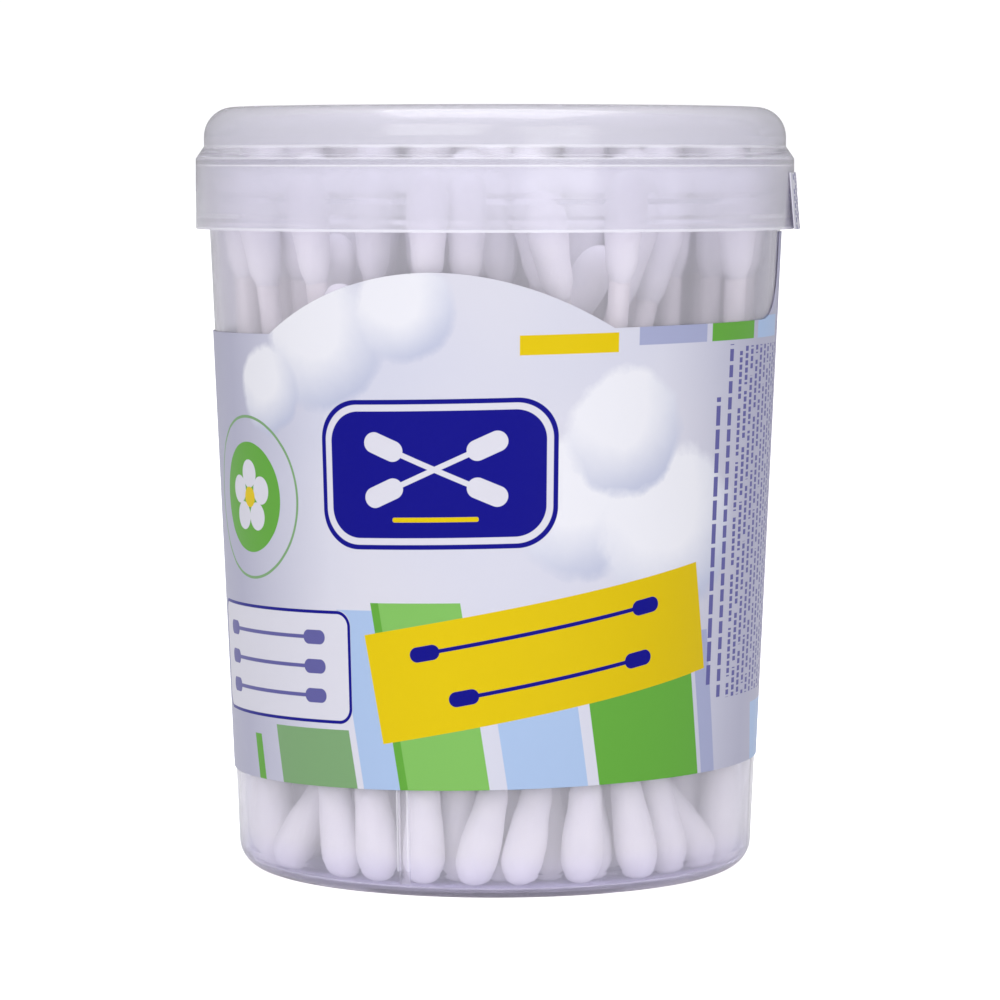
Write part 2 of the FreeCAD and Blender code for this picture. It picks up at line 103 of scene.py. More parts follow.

# The lid's edges, painted whiter as highlight lines and partly for the thicker plastic
# there: heights and half widths, in millimetres, and how much clearness each takes away.
LID_EDGES = ((69.75, 0.25), (76.5, 0.12), (77.25, 0.14), (78.5, 0.2))
LID_EDGE_HIGHLIGHT_AND_THICKNESS = 0.3

# The lid's shoulder is clearer: its middle height and half width, in millimetres, by how
# much, and the share of the half width that is fully so.
SHOULDER = (77.6, 1.1)
SHOULDER_CLEARER = 0.14
SHOULDER_CORE = 0.8

# The tub's foot is thicker and looks lilac: the heights where that starts and is full.
FOOT_FADE = (5.0, 1.5)

# The tub's inner ribs, whose edges catch light, painted as whiter lines in the plastic:
# how many, the first one's angle from the front, their distance from the axis, width,
# lower and upper end, an edge's half width and how much clearness the painted highlight
# takes away.
RIBS = 3
RIB_ANGLE = -8.0
RIB_REACH = 27.6
RIB_WIDTH = 1.1
RIB_FOOT = 3.0
RIB_TOP = 42.0
RIB_EDGE = 0.12
RIB_EDGE_HIGHLIGHT = 0.4

# Cotton and paper.
COTTON_ROUGHNESS = 0.95
COTTON_SHEEN = 0.3
COTTON_SHEEN_ROUGHNESS = 0.5
PAPER_ROUGHNESS = 0.72

# The values that noise takes for the most part, and the middle one.
NOISE_RANGE = (0.3, 0.7)
NOISE_MIDDLE = 0.5

# The buds, in millimetres: how far they cover a stick's end, then their form, with places
# counted from the tip.
STICK_END_COVER = 2.6
BUD_LENGTH = 12.0
BUD_RADIUS = 2.2
BUD_TIP_LENGTH = 2.9
BUD_WAIST_RADIUS = 1.72
BUD_WAIST_AT = 9.4
BUD_BULB_AT = 4.0
BUD_END_RADIUS = 1.06

# The buds' meshes: how fine they are, how high and wide their lumps are, in millimetres,
# which noise leaves the surface where it is, and what makes each bud's lumps its own.
BUD_SIDES = 22
BUD_RINGS_IN_TIP = 7
BUD_RINGS_ALONG = 10
LUMP_HEIGHT = 0.1
LUMP_SIZE = 2.4
LUMP_LEVEL = 0.3
LUMP_SPREAD = 317.0

# Corners of a stick that lie closer than this, in metres, are one.
SAME_PLACE = 1e-6


def rgb(red, green, blue):
    """A colour as read from a picture, turned into the linear values that shaders take."""
    values = []
    for value in (red, green, blue):
        share = value / 255
        values.append(share / 12.92 if share <= 0.04045 else ((share + 0.055) / 1.055) ** 2.4)
    return (*values, 1.0)


def ink(red, green, blue):
    """A printed colour, given as it looks under the light that falls on the wrap's front."""
    values = [value / FILM_LIGHT for value in rgb(red, green, blue)[:3]]
    return (*values, 1.0)


WHITE_FILM = ink(222, 221, 232)
COOL_FILM = ink(214, 215, 231)
# Partly the print's bluish ground, partly painted shade on the wrap's sides.
SIDE_SHADE_AND_BLUISH_INK = ink(178, 178, 201)
NAVY = ink(4, 2, 136)
YELLOW = ink(228, 199, 0)
DEEP_YELLOW = ink(219, 190, 0)
GREEN = ink(100, 170, 62)
SOFT_GREEN = ink(131, 193, 97)
MUTED_GREEN = ink(127, 168, 118)
LIGHT_BLUE = ink(172, 196, 232)
LILAC_BLUE = ink(167, 172, 206)
RULE_BLUE = ink(98, 96, 160)
PUFF_WHITE = ink(238, 238, 245)
PUFF_SHADE = ink(184, 190, 216)

TUB_COLOUR = rgb(237, 235, 246)
FOOT_COLOUR = rgb(229, 226, 251)
TUB_TINT = rgb(246, 244, 245)
LID_COLOUR = rgb(237, 236, 243)
LID_TINT = rgb(240, 239, 244)
COTTON_TONES = (rgb(248, 247, 248), rgb(240, 239, 243))
PAPER_TONES = (rgb(241, 237, 235), rgb(228, 223, 223))
FLOOR_COLOUR = rgb(246, 246, 248)

# What follows is the print, laid out in millimetres: along the wrap from its front, and
# up from the tub's foot. The film turns bluish away from a place near its front, and
# pale again at the rear: distances along the wrap, and how much. The bluish turn is
# partly the print's own bluish ground and partly painted shade, darkening the wrap
# towards both its sides.
FADE_MIDDLE = 6.0
FADE_NEAR = (18.0, 34.0, 0.0, 0.9)
FADE_FAR = (78.0, 56.0)

# The tufts: the middle and radius of each, how ragged they are, and the way to their
# shaded side. The shade comes by that way and by the distance from the middle, each with
# its share, and starts and ends at two values. The outline fades out between two more.
PUFFS = (
    ((-12.5, 58.5), 7.5),
    ((-3.0, 61.5), 5.5),
    ((-20.5, 53.5), 5.0),
    ((15.5, 41.0), 8.0),
    ((26.0, 38.0), 9.5),
    ((20.0, 48.5), 7.0),
)
PUFF_RAGGED = 0.3
PUFF_SHADE_WAY = (0.45, -0.75)
PUFF_SHADE_BY_WAY = 0.5
PUFF_SHADE_BY_REACH = 0.55
PUFF_SHADE_RANGE = (0.2, 0.95)
PUFF_OUTLINE = (1.0, 0.85)

# The stripes along the foot of the wrap lean by this much from the height of its edge up.
# Each has its two sides at that height, its top and its colour.
STRIPE_LEAN = 0.155
STRIPE_FOOT = 11.7
FRONT_STRIPES = (
    (-25.3, -23.8, 16.5, GREEN),
    (-20.3, -9.3, 17.8, MUTED_GREEN),
    (-8.5, -4.2, 30.5, LIGHT_BLUE),
    (-4.2, 5.6, 31.3, SOFT_GREEN),
    (-4.2, -3.3, 31.3, GREEN),
    (7.5, 16.3, 24.0, LIGHT_BLUE),
    (17.6, 31.0, 26.0, GREEN),
    (31.6, 34.0, 27.0, LILAC_BLUE),
)
REAR_STRIPES = (
    (44.0, 53.0, 18.0, LIGHT_BLUE),
    (55.0, 68.0, 18.0, SOFT_GREEN),
    (70.5, 74.0, 18.0, YELLOW),
    (-80.0, -68.0, 18.0, MUTED_GREEN),
    (-66.0, -60.0, 18.0, LIGHT_BLUE),
    (-58.0, -46.0, 18.0, SOFT_GREEN),
    (-44.0, -41.0, 18.0, LILAC_BLUE),
)

# The blocks along the wrap's upper edge: the two sides and the colour of each. The yellow
# one, like the fields below, has its middle and its size.
TOP_BLOCKS = (
    (21.1, 29.9, LILAC_BLUE),
    (30.7, 38.8, GREEN),
    (39.8, 47.0, LIGHT_BLUE),
    (-52.0, -43.0, LIGHT_BLUE),
    (-63.0, -53.5, GREEN),
    (-74.0, -64.5, YELLOW),
)
TOP_BLOCK_MIDDLE = 58.6
TOP_BLOCK_HEIGHT = 2.3
YELLOW_BLOCK = ((13.7, 57.85), (10.2, 2.05))

# The signs of swabs: the stick's thickness and corners, the buds' size and corners, and
# how far a bud's middle lies from the end. Each sign scales these by its own thickness.
SIGN_STICK = (0.5, 0.2)
SIGN_BUD = (3.8, 1.9, 0.94)
SIGN_BUD_INSET = 1.6

# The banner, with the middle and length of its swabs, and where its two yellows are.
BANNER = ((11.7, 25.4), (38.0, 11.6))
BANNER_TURN = 9.7
BANNER_TONES = (0.0, 30.0)
BANNER_SWABS = (((10.7, 28.1), 27.0), ((12.4, 23.0), 22.0))
BANNER_SWAB_THICK = 0.85

# The panel: its layers have a size, a corner and a colour.
PANEL_MIDDLE = (0.0, 44.7)
PANEL_LAYERS = (
    ((25.2, 15.6), 4.2, NAVY),
    ((24.2, 14.6), 3.8, WHITE_FILM),
    ((22.8, 13.2), 3.2, NAVY),
)
PANEL_BAR = ((0.0, 40.0), (9.0, 0.5), 0.2)
PANEL_SWAB = ((0.0, 45.2), 15.5)
PANEL_SWAB_TURNS = (24, -24)
PANEL_SWAB_THICK = 1.15

# The badge and its flower.
BADGE_MIDDLE = (-24.9, 41.9)
BADGE_RADIUS = 5.9
BADGE_RING_RADIUS = 8.6
BADGE_RING_WIDTH = 0.3
PETALS = 5
PETAL_RADIUS = 1.5
PETAL_REACH = 2.5
HEART_RADIUS = 1.1

# The box: the size and corner of its field and of its outline, then its swabs.
BOX_MIDDLE = (-22.8, 24.4)
BOX_FIELD = ((26.2, 12.0), 1.6)
BOX_OUTLINE = ((25.8, 11.6), 1.5)
BOX_SWAB_LENGTH = 19.0
BOX_SWAB_PITCH = 3.1
BOX_SWAB_THICK = 0.8
OUTLINE_WIDTH = 0.35

# The rear's banner and swab, and the outline round its ruled field.
REAR_BANNER = ((80.0, 44.0), (20.0, 9.0))
REAR_BANNER_TURN = 8.0
REAR_SWAB_LENGTH = 15.0
REAR_SWAB_THICK = 0.9
REAR_OUTLINE = ((25.0, 30.0), 1.5)

# The broken rules: place along the wrap, lower and upper end, and dash.
FIELD_RULES = (
    (32.2, 21.0, 51.5, 2.1),
    (34.2, 19.5, 57.0, 1.3),
)
RULE_WIDTH = 0.7
RULE_GAP = 0.4

# The fields of fine rules. Each rule is broken twice over: how far the breaks shift from
# one rule to the next, and the length of the runs and of the gaps between them.
FINE_FIELD = ((41.7, 38.0), (12.0, 37.4))
TONGUE_FIELD = ((58.2, 49.5), (21.0, 52.0))
SEAL_FIELD = ((57.0, 70.0), (23.2, 24.0))
REAR_FIELD = ((-72.0, 40.0), (21.0, 26.0))
FINE_PITCH = 1.25
FINE_WIDTH = 0.62
FINE_BREAKS = ((0.37, 0.55, 0.22), (4.3, 5.2, 0.7))


class Shade:
    """A material and short ways to build its nodes."""

    def __init__(self, name):
        self.material = bpy.data.materials.new(name)
        self.material.use_nodes = True
        self.tree = self.material.node_tree
        self.shader = self.tree.nodes["Principled BSDF"]

    def node(self, kind, **settings):
        """A new node of some kind, with its settings."""
        made = self.tree.nodes.new(kind)
        for name, value in settings.items():
            setattr(made, name, value)
        return made

    def feed(self, socket, value):
        """Links a socket to another one, or sets it to a plain value."""
        if isinstance(value, bpy.types.NodeSocket):
            self.tree.links.new(value, socket)
        else:
            socket.default_value = value

    def set(self, **inputs):
        """Feeds the shader's own inputs, whose spaces are written as underscores."""
        for name, value in inputs.items():
            self.feed(self.shader.inputs[name.replace("_", " ")], value)

    def sum(self, operation, *values, clamp=False):
        """What one mathematical operation makes of some values."""
        made = self.node("ShaderNodeMath", operation=operation, use_clamp=clamp)
        for socket, value in zip(made.inputs, values):
            self.feed(socket, value)
        return made.outputs[0]

    def place(self):
        """The point in the tub's own frame, in millimetres, as three values."""
        point = self.node("ShaderNodeTexCoord").outputs["Object"]
        apart = self.node("ShaderNodeSeparateXYZ")
        self.feed(apart.inputs[0], point)
        return [self.sum("MULTIPLY", axis, 1 / MM) for axis in apart.outputs]

    def away(self, value, middle):
        """How far a value is from a middle one, on either side."""
        return self.sum("ABSOLUTE", self.sum("SUBTRACT", value, middle))

    def reach(self, across, up):
        """How long a step is that goes so far across and so far up."""
        squares = self.sum("MULTIPLY", across, across), self.sum("MULTIPLY", up, up)
        return self.sum("SQRT", self.sum("ADD", *squares))

    def noise(self, scale, detail=2.0, stretch=(1, 1, 1), roughness=0.5):
        """Soft noise in the tub's own frame, scaled by its fineness per metre."""
        point = self.node("ShaderNodeTexCoord").outputs["Object"]
        mapping = self.node("ShaderNodeMapping")
        self.feed(mapping.inputs["Vector"], point)
        mapping.inputs["Scale"].default_value = stretch
        made = self.node("ShaderNodeTexNoise")
        self.feed(made.inputs["Vector"], mapping.outputs[0])
        made.inputs["Scale"].default_value = scale
        made.inputs["Detail"].default_value = detail
        made.inputs["Roughness"].default_value = roughness
        return made.outputs["Fac"]

    def mix(self, share, first, second):
        """The colour between two, by the share of the second."""
        made = self.node("ShaderNodeMix", data_type="RGBA")
        # Of this node's sockets, inputs 6 and 7 and output 2 are the ones for colours.
        self.feed(made.inputs["Factor"], share)
        self.feed(made.inputs[6], first)
        self.feed(made.inputs[7], second)
        return made.outputs[2]

    def ramp(self, value, low, high, to_low=0.0, to_high=1.0):
        """A value brought from one range to another, and kept within it."""
        made = self.node("ShaderNodeMapRange")
        for name, number in (
            ("Value", value),
            ("From Min", low),
            ("From Max", high),
            ("To Min", to_low),
            ("To Max", to_high),
        ):
            self.feed(made.inputs[name], number)
        return made.outputs[0]

    def let_light_in(self, tint):
        """Lamps and bounced light pass straight through, so that the inside is lit."""
        path = self.node("ShaderNodeLightPath")
        passing = self.sum(
            "MAXIMUM", path.outputs["Is Shadow Ray"], path.outputs["Is Diffuse Ray"]
        )
        clear = self.node("ShaderNodeBsdfTransparent")
        clear.inputs["Color"].default_value = tint
        either = self.node("ShaderNodeMixShader")
        self.feed(either.inputs[0], passing)
        self.feed(either.inputs[1], self.shader.outputs[0])
        self.feed(either.inputs[2], clear.outputs[0])
        self.feed(self.tree.nodes["Material Output"].inputs["Surface"], either.outputs[0])

    def bump(self, height, distance, strength, below=None):
        """The normal that a relief gives, on top of another one where that is given."""
        made = self.node("ShaderNodeBump")
        made.inputs["Strength"].default_value = strength
        made.inputs["Distance"].default_value = distance
        self.feed(made.inputs["Height"], height)
        if below is not None:
            self.feed(made.inputs["Normal"], below)
        return made.outputs[0]


class Print(Shade):
    """A printed film: fields of colour laid out along the wrap (u) and up it (v), in mm."""

    # Over this width an outline is softened.
    EDGE = 0.06

    def __init__(self, name):
        super().__init__(name)
        x, y, z = self.place()
        seam = math.radians(WRAP_SEAM - 180)
        across = self.sum(
            "SUBTRACT", self.sum("MULTIPLY", x, math.cos(seam)),
            self.sum("MULTIPLY", y, -math.sin(seam)),
        )
        ahead = self.sum(
            "ADD", self.sum("MULTIPLY", x, math.sin(seam)),
            self.sum("MULTIPLY", y, -math.cos(seam)),
        )
        turn = self.sum("ADD", self.sum("ARCTAN2", across, ahead), seam)
        self.u = self.sum("MULTIPLY", turn, WRAP_RADIUS)
        skew = math.tan(math.radians(WRAP_SKEW))
        self.v = self.sum("SUBTRACT", z, self.sum("MULTIPLY", x, skew))
        self.colour = WHITE_FILM

    def turned(self, centre, angle):
        """The place relative to a centre, in axes turned by an angle in degrees."""
        u = self.sum("SUBTRACT", self.u, centre[0])
        v = self.sum("SUBTRACT", self.v, centre[1])
        if not angle:
            return u, v
        cos, sin = math.cos(math.radians(angle)), math.sin(math.radians(angle))
        along = self.sum("ADD", self.sum("MULTIPLY", u, cos), self.sum("MULTIPLY", v, sin))
        up = self.sum("SUBTRACT", self.sum("MULTIPLY", v, cos), self.sum("MULTIPLY", u, sin))
        return along, up

    def inside(self, distance):
        """One inside an outline and nought outside, from the distance to it."""
        return self.sum("MULTIPLY_ADD", distance, -1 / self.EDGE, 0.5, clamp=True)

    def block(self, centre, size, corner=0.0, angle=0.0):
        """The distance to a rectangle with rounded corners."""
        along, up = self.turned(centre, angle)
        sides = []
        for value, full in ((along, size[0]), (up, size[1])):
            far = self.sum("ABSOLUTE", value)
            sides.append(self.sum("SUBTRACT", far, full / 2 - corner))
        if not corner:
            return self.sum("MAXIMUM", *sides)
        out = [self.sum("MAXIMUM", side, 0.0) for side in sides]
        within = self.sum("MINIMUM", self.sum("MAXIMUM", *sides), 0.0)
        return self.sum("SUBTRACT", self.sum("ADD", self.reach(*out), within), corner)

    def disc(self, centre, radius):
        """The distance to a circle."""
        return self.sum("SUBTRACT", self.reach(*self.turned(centre, 0)), radius)

    def ring(self, distance, width):
        """The distance to a line of some width along an outline."""
        return self.sum("SUBTRACT", self.sum("ABSOLUTE", distance), width / 2)

    def lay(self, distance, colour):
        """Prints a colour inside an outline."""
        self.colour = self.mix(self.inside(distance), self.colour, colour)

    def dashes(self, u, low, high, width, dash, gap):
        """A broken upright rule of some width between two heights."""
        line = self.block((u, (low + high) / 2), (width, high - low))
        along = self.sum("MODULO", self.sum("SUBTRACT", self.v, low), dash + gap)
        over = self.sum("SUBTRACT", along, dash)
        self.lay(self.sum("MAXIMUM", line, over), RULE_BLUE)

    def fine_rules(self, centre, size):
        """A field of thin upright rules, each broken into short dashes in longer runs."""
        along_u = self.sum("DIVIDE", self.sum("SUBTRACT", self.u, centre[0]), FINE_PITCH)
        column = self.sum("FLOOR", along_u)
        aside = self.away(self.sum("FRACT", along_u), 0.5)
        away = self.sum("MULTIPLY_ADD", aside, FINE_PITCH, -FINE_WIDTH / 2)
        for shift, dash, gap in FINE_BREAKS:
            height = self.sum("MULTIPLY_ADD", column, shift, self.v)
            run = self.sum("FLOORED_MODULO", height, dash + gap)
            away = self.sum("MAXIMUM", away, self.sum("SUBTRACT", run, dash))
        self.lay(self.sum("MAXIMUM", away, self.block(centre, size)), RULE_BLUE)

    def stripe(self, low, high, top, colour):
        """A leaning stripe that rises from the wrap's lower edge to a height."""
        lean = self.sum("MULTIPLY_ADD", self.v, STRIPE_LEAN, -STRIPE_LEAN * STRIPE_FOOT)
        across = self.sum("ADD", self.u, lean)
        side = self.sum("SUBTRACT", self.away(across, (low + high) / 2), (high - low) / 2)
        over = self.sum("SUBTRACT", self.v, top)
        self.lay(self.sum("MAXIMUM", side, over), colour)

    def swab(self, centre, length, angle, colour, thick):
        """A plain sign of a swab: a thin stick with a rounded bud at each end."""
        width, corner = (size * thick for size in SIGN_STICK)
        self.lay(self.block(centre, (length, width), corner, angle), colour)
        long, width, corner = (size * thick for size in SIGN_BUD)
        reach = length / 2 - SIGN_BUD_INSET * thick
        for side in (-1, 1):
            spot = (
                centre[0] + side * reach * math.cos(math.radians(angle)),
                centre[1] + side * reach * math.sin(math.radians(angle)),
            )
            self.lay(self.block(spot, (long, width), corner, angle), colour)

    def puff(self, centre, radius, wobble):
        """A soft round tuft, bluish at its lower right."""
        u, v = self.turned(centre, 0)
        reach = self.sum("MULTIPLY_ADD", wobble, -radius * PUFF_RAGGED, self.reach(u, v))
        share = self.sum("DIVIDE", reach, radius)
        way_u, way_v = PUFF_SHADE_WAY
        aside = self.sum("MULTIPLY_ADD", u, way_u, self.sum("MULTIPLY", v, way_v))
        far = self.sum("MULTIPLY", share, PUFF_SHADE_BY_REACH)
        aside = self.sum("MULTIPLY_ADD", aside, PUFF_SHADE_BY_WAY / radius, far)
        tone = self.ramp(aside, *PUFF_SHADE_RANGE)
        colour = self.mix(tone, PUFF_WHITE, PUFF_SHADE)
        mask = self.ramp(share, *PUFF_OUTLINE)
        self.colour = self.mix(mask, self.colour, colour)

    def finish(self):
        """The material, with the print on a film of faint grain."""
        grain = self.noise(scale=900.0, detail=3.0)
        self.set(
            Base_Color=self.colour,
            Roughness=FILM_ROUGHNESS,
            Normal=self.bump(grain, distance=0.00002, strength=0.35),
        )
        self.shader.inputs["Specular IOR Level"].default_value = FILM_SPECULAR
        return self.material


def print_wrap():
    """The wrap's print: stripes, blocks, a banner, a plain panel, a badge and tufts."""
    film = Print("wrap_print")
    tone = film.noise(scale=38.0)
    film.colour = film.mix(film.ramp(tone, *NOISE_RANGE), WHITE_FILM, COOL_FILM)
    # Painted shade, partly the print's bluish ground: darker away from the front, pale again
    # at the rear.
    near = film.ramp(film.away(film.u, FADE_MIDDLE), *FADE_NEAR)
    far = film.ramp(film.sum("ABSOLUTE", film.u), *FADE_FAR)
    film.colour = film.mix(film.sum("MULTIPLY", near, far), film.colour, SIDE_SHADE_AND_BLUISH_INK)
    wobble = film.noise(scale=330.0, detail=4.0, roughness=0.6)
    wobble = film.sum("SUBTRACT", wobble, NOISE_MIDDLE)
    for middle, radius in PUFFS:
        film.puff(middle, radius, wobble)
    for low, high, top, colour in FRONT_STRIPES + REAR_STRIPES:
        film.stripe(low, high, top, colour)
    for low, high, colour in TOP_BLOCKS:
        middle = ((low + high) / 2, TOP_BLOCK_MIDDLE)
        film.lay(film.block(middle, (high - low, TOP_BLOCK_HEIGHT)), colour)
    film.lay(film.block(*YELLOW_BLOCK), YELLOW)
    yellows = film.mix(film.ramp(film.u, *BANNER_TONES), YELLOW, DEEP_YELLOW)
    film.lay(film.block(*BANNER, angle=BANNER_TURN), yellows)
    for middle, length in BANNER_SWABS:
        film.swab(middle, length, BANNER_TURN, NAVY, BANNER_SWAB_THICK)
    print_panel(film)
    print_badge(film)
    print_box(film)
    print_rear(film)
    print_rules(film)
    return film.finish()


def print_panel(film):
    """A plain navy panel with a pale edge, and two crossed swabs on it."""
    for size, corner, colour in PANEL_LAYERS:
        film.lay(film.block(PANEL_MIDDLE, size, corner), colour)
    for angle in PANEL_SWAB_TURNS:
        film.swab(*PANEL_SWAB, angle, WHITE_FILM, PANEL_SWAB_THICK)
    film.lay(film.block(*PANEL_BAR), YELLOW)


def print_badge(film):
    """A round green badge with a five-petalled flower inside a thin ring."""
    ring = film.disc(BADGE_MIDDLE, BADGE_RING_RADIUS)
    film.lay(film.ring(ring, BADGE_RING_WIDTH), MUTED_GREEN)
    film.lay(film.disc(BADGE_MIDDLE, BADGE_RADIUS), GREEN)
    for petal in range(PETALS):
        turn = math.radians(90 + 360 / PETALS * petal)
        spot = (
            BADGE_MIDDLE[0] + PETAL_REACH * math.cos(turn),
            BADGE_MIDDLE[1] + PETAL_REACH * math.sin(turn),
        )
        film.lay(film.disc(spot, PETAL_RADIUS), WHITE_FILM)
    film.lay(film.disc(BADGE_MIDDLE, HEART_RADIUS), YELLOW)


def print_box(film):
    """A box in a navy line, with three plain swabs side by side."""
    film.lay(film.block(BOX_MIDDLE, *BOX_FIELD), WHITE_FILM)
    film.lay(film.ring(film.block(BOX_MIDDLE, *BOX_OUTLINE), OUTLINE_WIDTH), NAVY)
    for row in (-1, 0, 1):
        spot = (BOX_MIDDLE[0], BOX_MIDDLE[1] + BOX_SWAB_PITCH * row)
        film.swab(spot, BOX_SWAB_LENGTH, 0, RULE_BLUE, BOX_SWAB_THICK)


def print_rear(film):
    """The rear: a green banner with a swab on it and a ruled box beside it."""
    film.lay(film.block(*REAR_BANNER, angle=REAR_BANNER_TURN), GREEN)
    middle = REAR_BANNER[0]
    film.swab(middle, REAR_SWAB_LENGTH, REAR_BANNER_TURN, WHITE_FILM, REAR_SWAB_THICK)
    outline = film.block(REAR_FIELD[0], *REAR_OUTLINE)
    film.lay(film.ring(outline, OUTLINE_WIDTH), NAVY)


def print_rules(film):
    """Thin broken rules: two beside the front, and the fields on tongue, side and rear."""
    for u, low, high, dash in FIELD_RULES:
        film.dashes(u, low, high, RULE_WIDTH, dash, RULE_GAP)
    for field in (FINE_FIELD, TONGUE_FIELD, REAR_FIELD):
        film.fine_rules(*field)


def print_seal():
    """The strip on the lid: the same film and rules as the tongue below it."""
    film = Print("seal_print")
    film.fine_rules(*SEAL_FIELD)
    return film.finish()


def clear_plastic():
    """Clear moulded plastic: slightly hazy, lilac at its foot, with painted highlights along
    the ribs' edges.
    """
    made = Shade("clear_plastic")
    x, y, z = made.place()
    turn = made.sum("ARCTAN2", x, made.sum("MULTIPLY", y, -1.0))
    turn = made.sum("SUBTRACT", turn, math.radians(RIB_ANGLE))
    away = made.sum("MULTIPLY", made.sum("PINGPONG", turn, math.pi / RIBS), RIB_REACH)
    away = made.away(away, RIB_WIDTH / 2)
    # Painted highlight: the ribs' edges are made less clear, so they show as whiter lines.
    edge = made.ramp(away, RIB_EDGE, RIB_EDGE * EDGE_CORE)
    edge = made.sum("MULTIPLY", edge, made.ramp(z, RIB_TOP, RIB_TOP - RIB_EDGE))
    edge = made.sum("MULTIPLY", edge, made.ramp(z, RIB_FOOT - RIB_EDGE, RIB_FOOT))
    ripple = made.noise(scale=60.0, stretch=(1, 1, 0.35))
    made.set(
        Base_Color=made.mix(made.ramp(z, *FOOT_FADE), TUB_COLOUR, FOOT_COLOUR),
        Roughness=made.ramp(ripple, *NOISE_RANGE, *TUB_ROUGHNESS),
        Transmission_Weight=made.sum("MULTIPLY_ADD", edge, -RIB_EDGE_HIGHLIGHT, TUB_CLEARNESS),
        Normal=made.bump(ripple, distance=0.0002, strength=0.25),
    )
    made.shader.inputs["IOR"].default_value = PLASTIC_IOR
    made.let_light_in(TUB_TINT)
    return made.material


def milky_plastic():
    """Milky moulded plastic: blurs and dims what is behind it; painted highlights whiten its
    edges, partly also for the thicker plastic there.
    """
    made = Shade("milky_plastic")
    height = made.place()[2]
    edges = 0.0
    # Painted highlights along the lid's edges, partly also the thicker plastic: less clear,
    # so whiter.
    for line, half in LID_EDGES:
        edge = made.ramp(made.away(height, line), half, half * EDGE_CORE)
        edges = made.sum("MAXIMUM", edges, edge)
    middle, half = SHOULDER
    shoulder = made.ramp(made.away(height, middle), half, half * SHOULDER_CORE)
    clear = made.sum("MULTIPLY_ADD", shoulder, SHOULDER_CLEARER, LID_CLEARNESS)
    flow = made.noise(scale=26.0, stretch=(1, 1, 5.0))
    made.set(
        Base_Color=LID_COLOUR,
        Roughness=made.ramp(flow, *NOISE_RANGE, *LID_ROUGHNESS),
        Transmission_Weight=made.sum("MULTIPLY_ADD", edges, -LID_EDGE_HIGHLIGHT_AND_THICKNESS, clear),
        Normal=made.bump(flow, distance=0.00035, strength=0.3),
    )
    made.shader.inputs["IOR"].default_value = PLASTIC_IOR
    made.let_light_in(LID_TINT)
    return made.material


def cotton_wool():
    """Soft wound cotton: matt white, fine fibres and a gentle sheen."""
    made = Shade("cotton_wool")
    lumps = made.noise(scale=420.0, detail=3.0)
    fibres = made.noise(scale=2600.0, detail=4.0, stretch=(1, 1, 0.45), roughness=0.65)
    under = made.bump(lumps, distance=0.0003, strength=0.4)
    made.set(
        Base_Color=made.mix(made.ramp(lumps, *NOISE_RANGE), *COTTON_TONES),
        Roughness=COTTON_ROUGHNESS,
        Normal=made.bump(fibres, distance=0.00012, strength=0.55, below=under),
    )
    made.shader.inputs["Sheen Weight"].default_value = COTTON_SHEEN
    made.shader.inputs["Sheen Roughness"].default_value = COTTON_SHEEN_ROUGHNESS
    return made.material


def rolled_paper():
    """Matt rolled paper with faint fibres along the stick."""
    made = Shade("rolled_paper")
    fibres = made.noise(scale=900.0, detail=3.0, stretch=(1, 1, 0.12))
    made.set(
        Base_Color=made.mix(made.ramp(fibres, *NOISE_RANGE), *PAPER_TONES),
        Roughness=PAPER_ROUGHNESS,
        Normal=made.bump(fibres, distance=0.00006, strength=0.5),
    )
    return made.material


def dress(node, material):
    """Gives a node of the frame its material."""
    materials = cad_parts[node].data.materials
    materials.clear()
    materials.append(material)


def stick_ends(node):
    """The two end centres of every stick in a node, lower end first, in metres."""
    mesh = bmesh.new()
    mesh.from_mesh(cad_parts[node].data)
    bmesh.ops.remove_doubles(mesh, verts=mesh.verts, dist=SAME_PLACE)
    mesh.verts.ensure_lookup_table()
    seen, ends = set(), []
    for start in mesh.verts:
        if start.index in seen:
            continue
        group, waiting = [], [start]
        seen.add(start.index)
        while waiting:
            vertex = waiting.pop()
            group.append(vertex.co.copy())
            for edge in vertex.link_edges:
                other = edge.other_vert(vertex)
                if other.index not in seen:
                    seen.add(other.index)
                    waiting.append(other)
        middle = sum(point.z for point in group) / len(group)
        low = [point for point in group if point.z < middle]
        high = [point for point in group if point.z >= middle]
        ends.append([sum(half, Vector()) / len(half) for half in (low, high)])
    mesh.free()
    return ends


def smooth(share):
    """A share from nought to one, eased in and out."""
    share = min(1.0, max(0.0, share))
    return share * share * (3 - 2 * share)


def bud_radius(along):
    """A bud's radius at a distance from its tip, in millimetres."""
    if along < BUD_TIP_LENGTH:
        return BUD_RADIUS * math.sqrt(1 - (1 - along / BUD_TIP_LENGTH) ** 2)
    if along < BUD_WAIST_AT:
        share = smooth((along - BUD_BULB_AT) / (BUD_WAIST_AT - BUD_BULB_AT))
        return BUD_RADIUS + (BUD_WAIST_RADIUS - BUD_RADIUS) * share
    share = (along - BUD_WAIST_AT) / (BUD_LENGTH - BUD_WAIST_AT)
    return BUD_WAIST_RADIUS + (BUD_END_RADIUS - BUD_WAIST_RADIUS) * smooth(share)


def bud_stations():
    """Distances from the tip at which a bud's rings lie."""
    quarter = math.pi / 2
    stations = []
    for ring in range(1, BUD_RINGS_IN_TIP + 1):
        stations.append(BUD_TIP_LENGTH * (1 - math.cos(quarter * ring / BUD_RINGS_IN_TIP)))
    for ring in range(1, BUD_RINGS_ALONG + 1):
        rest = BUD_LENGTH - BUD_TIP_LENGTH
        stations.append(BUD_TIP_LENGTH + rest * ring / BUD_RINGS_ALONG)
    return stations


